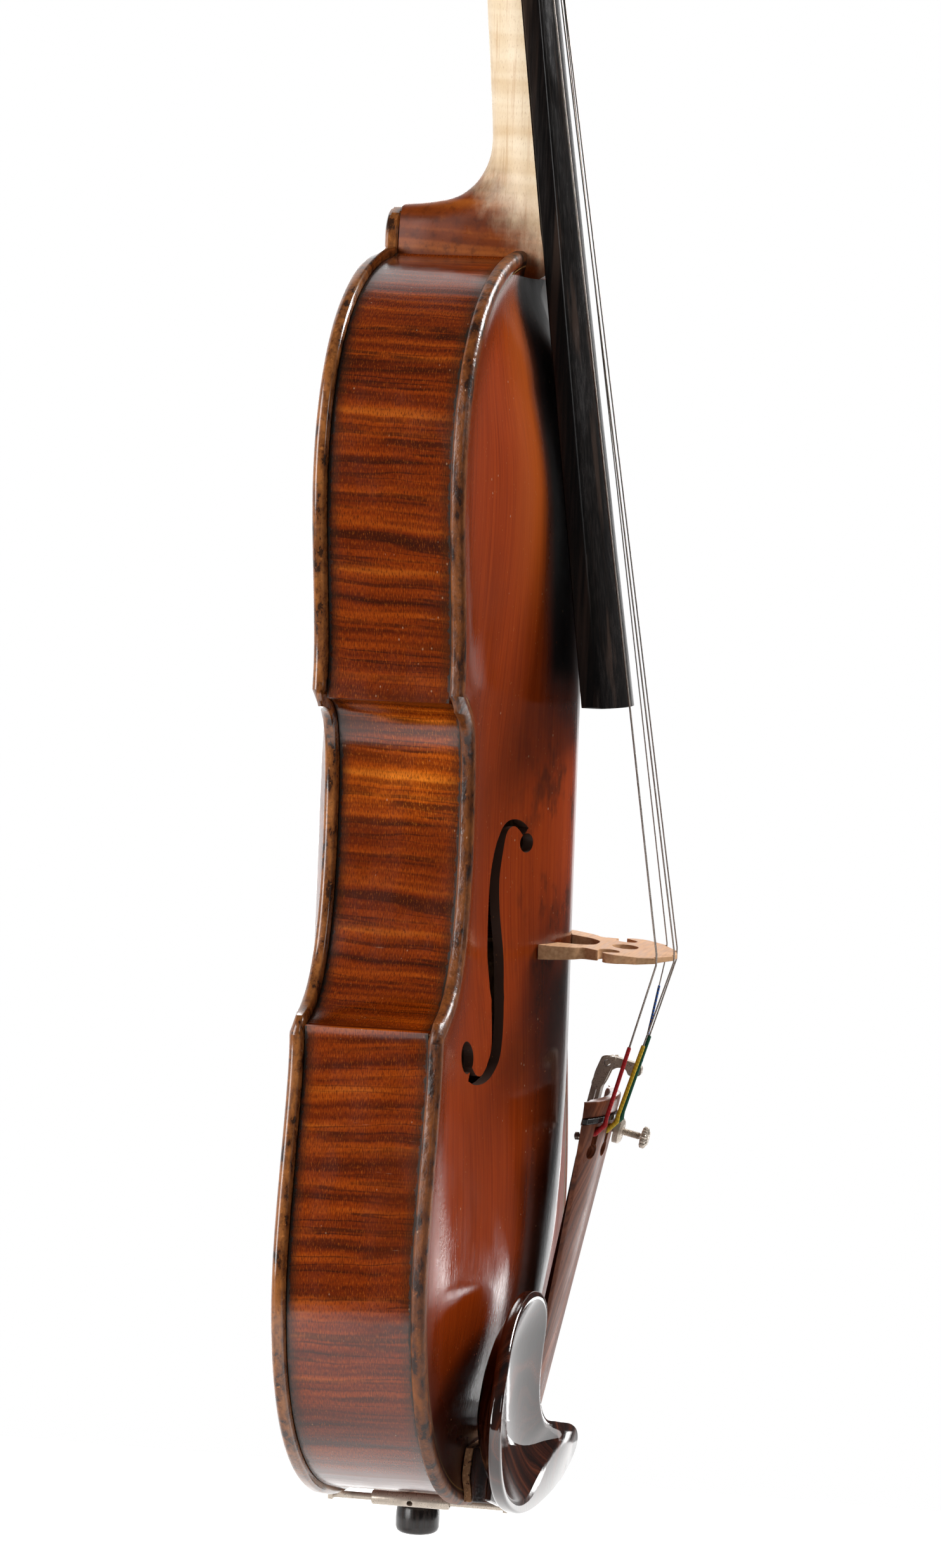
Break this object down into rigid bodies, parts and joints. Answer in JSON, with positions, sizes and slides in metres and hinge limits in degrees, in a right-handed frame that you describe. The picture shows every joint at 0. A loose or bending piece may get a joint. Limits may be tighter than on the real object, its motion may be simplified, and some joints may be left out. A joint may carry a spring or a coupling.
{
  "type": "viola",
  "caption": "Bowed string instrument with an arched hollow body, f-shaped sound holes, scroll head with turning pegs, bridge, strings, tailpiece with lever tuner and clamped chinrest.",
  "frame": {"origin": "inside the head below the scroll, where a hanger holds it", "axes": "+Z towards the scroll, -Y out of the belly, +X to the treble side"},
  "size_m": [0.232, 0.1199, 0.6854],
  "materials": {
    "bare_maple": "plain",
    "bare_spruce": "plain",
    "cork": "cork",
    "ebony": "polished",
    "gut_cord": "cord",
    "maple_varnish": "glossy varnish",
    "nickel": "plated",
    "rosewood": "polished",
    "spruce_varnish": "glossy varnish",
    "steel_string": "wound"
  },
  "bodies": {
    "viola": {"back": "maple_varnish", "bass_bar": "bare_spruce", "belly": "spruce_varnish", "bridge": "bare_maple", "c_rib_bass": "maple_varnish", "c_rib_treble": "maple_varnish", "chinrest": "rosewood", "chinrest_cork": "cork", "clamp_top": "nickel", "corner_block_lower_bass": "bare_spruce", "corner_block_lower_treble": "bare_spruce", "corner_block_upper_bass": "bare_spruce", "corner_block_upper_treble": "bare_spruce", "end_block": "bare_spruce", "end_button": "ebony", "fingerboard": "ebony", "lining_back_centre_bass": "bare_spruce", "lining_back_centre_treble": "bare_spruce", "lining_back_lower_bass": "bare_spruce", "lining_back_lower_treble": "bare_spruce", "lining_back_upper_bass": "bare_spruce", "lining_back_upper_treble": "bare_spruce", "lining_belly_centre_bass": "bare_spruce", "lining_belly_centre_treble": "bare_spruce", "lining_belly_lower_bass": "bare_spruce", "lining_belly_lower_treble": "bare_spruce", "lining_belly_upper_bass": "bare_spruce", "lining_belly_upper_treble": "bare_spruce", "lower_rib": "maple_varnish", "neck_and_scroll": "maple_varnish", "nut": "ebony", "saddle": "ebony", "sound_post": "bare_spruce", "string_a": "steel_string", "string_c": "steel_string", "string_d": "steel_string", "string_g": "steel_string", "tailgut": "gut_cord", "tailpiece": "rosewood", "tailpiece_fret": "ebony", "top_block": "bare_spruce", "tuner_frame": "nickel", "tuner_pin": "nickel", "tuner_ring_nut": "nickel", "upper_rib_bass": "maple_varnish", "upper_rib_treble": "maple_varnish"},
    "tuner_screw_slide": {"tuner_screw": "nickel"},
    "tuner_thumb_head": {"tuner_screw_head": "nickel"},
    "tuner_lever_arm": {"tuner_lever": "nickel"},
    "barrel_bass": {"clamp_barrel_bass": "nickel"},
    "barrel_treble": {"clamp_barrel_treble": "nickel"},
    "foot_bracket": {"clamp_foot": "nickel"},
    "peg_c_turning": {"peg_c": "ebony"},
    "peg_a_turning": {"peg_a": "ebony"},
    "peg_g_turning": {"peg_g": "ebony"},
    "peg_d_turning": {"peg_d": "ebony"}
  },
  "joints": [
    {"name": "peg_c_turn", "type": "hinge", "parent": "viola", "child": "peg_c_turning", "pos_m": [0, -0.01644, -0.0575], "axis": [-1, 0, 0], "continuous": true},
    {"name": "peg_a_turn", "type": "hinge", "parent": "viola", "child": "peg_a_turning", "pos_m": [0, -0.01264, -0.044], "axis": [1, 0, 0], "continuous": true},
    {"name": "peg_g_turn", "type": "hinge", "parent": "viola", "child": "peg_g_turning", "pos_m": [0, -0.00801, -0.027], "axis": [-1, 0, 0], "continuous": true},
    {"name": "peg_d_turn", "type": "hinge", "parent": "viola", "child": "peg_d_turning", "pos_m": [0, -0.00417, -0.012], "axis": [1, 0, 0], "continuous": true},
    {"name": "tuner_screw_travel", "type": "slide", "parent": "viola", "child": "tuner_screw_slide", "axis": [0, 0.9771, 0.213], "range_m": [0, 0.0015]},
    {"name": "tuner_thumb_turn", "type": "hinge", "parent": "tuner_screw_slide", "child": "tuner_thumb_head", "pos_m": [0.0135, -0.06908, -0.5103], "axis": [0, 0.9771, 0.213], "range_deg": [0, 1081]},
    {"name": "tuner_lever_tilt", "type": "hinge", "parent": "viola", "child": "tuner_lever_arm", "pos_m": [0.0135, -0.07502, -0.4901], "axis": [1, 0, 0], "range_deg": [0, 4.2]},
    {"name": "clamp_foot_travel", "type": "slide", "parent": "viola", "child": "foot_bracket", "axis": [0, 1, 0], "range_m": [0, 0.006]},
    {"name": "clamp_barrel_bass_turn", "type": "hinge", "parent": "viola", "child": "barrel_bass", "pos_m": [-0.016, -0.0215, -0.634], "axis": [0, 1, 0], "range_deg": [0, 1544]},
    {"name": "clamp_barrel_treble_turn", "type": "hinge", "parent": "viola", "child": "barrel_treble", "pos_m": [0.016, -0.0215, -0.634], "axis": [0, 1, 0], "range_deg": [0, 1544]}
  ],
  "couplings": [
    {"joint": "tuner_thumb_turn", "follows": "tuner_screw_travel", "rad_per_m": 12566},
    {"joint": "tuner_lever_tilt", "follows": "tuner_screw_travel", "rad_per_m": 47.619},
    {"joint": "clamp_barrel_bass_turn", "follows": "clamp_foot_travel", "rad_per_m": 4488},
    {"joint": "clamp_barrel_treble_turn", "follows": "clamp_foot_travel", "rad_per_m": 4488}
  ]
}
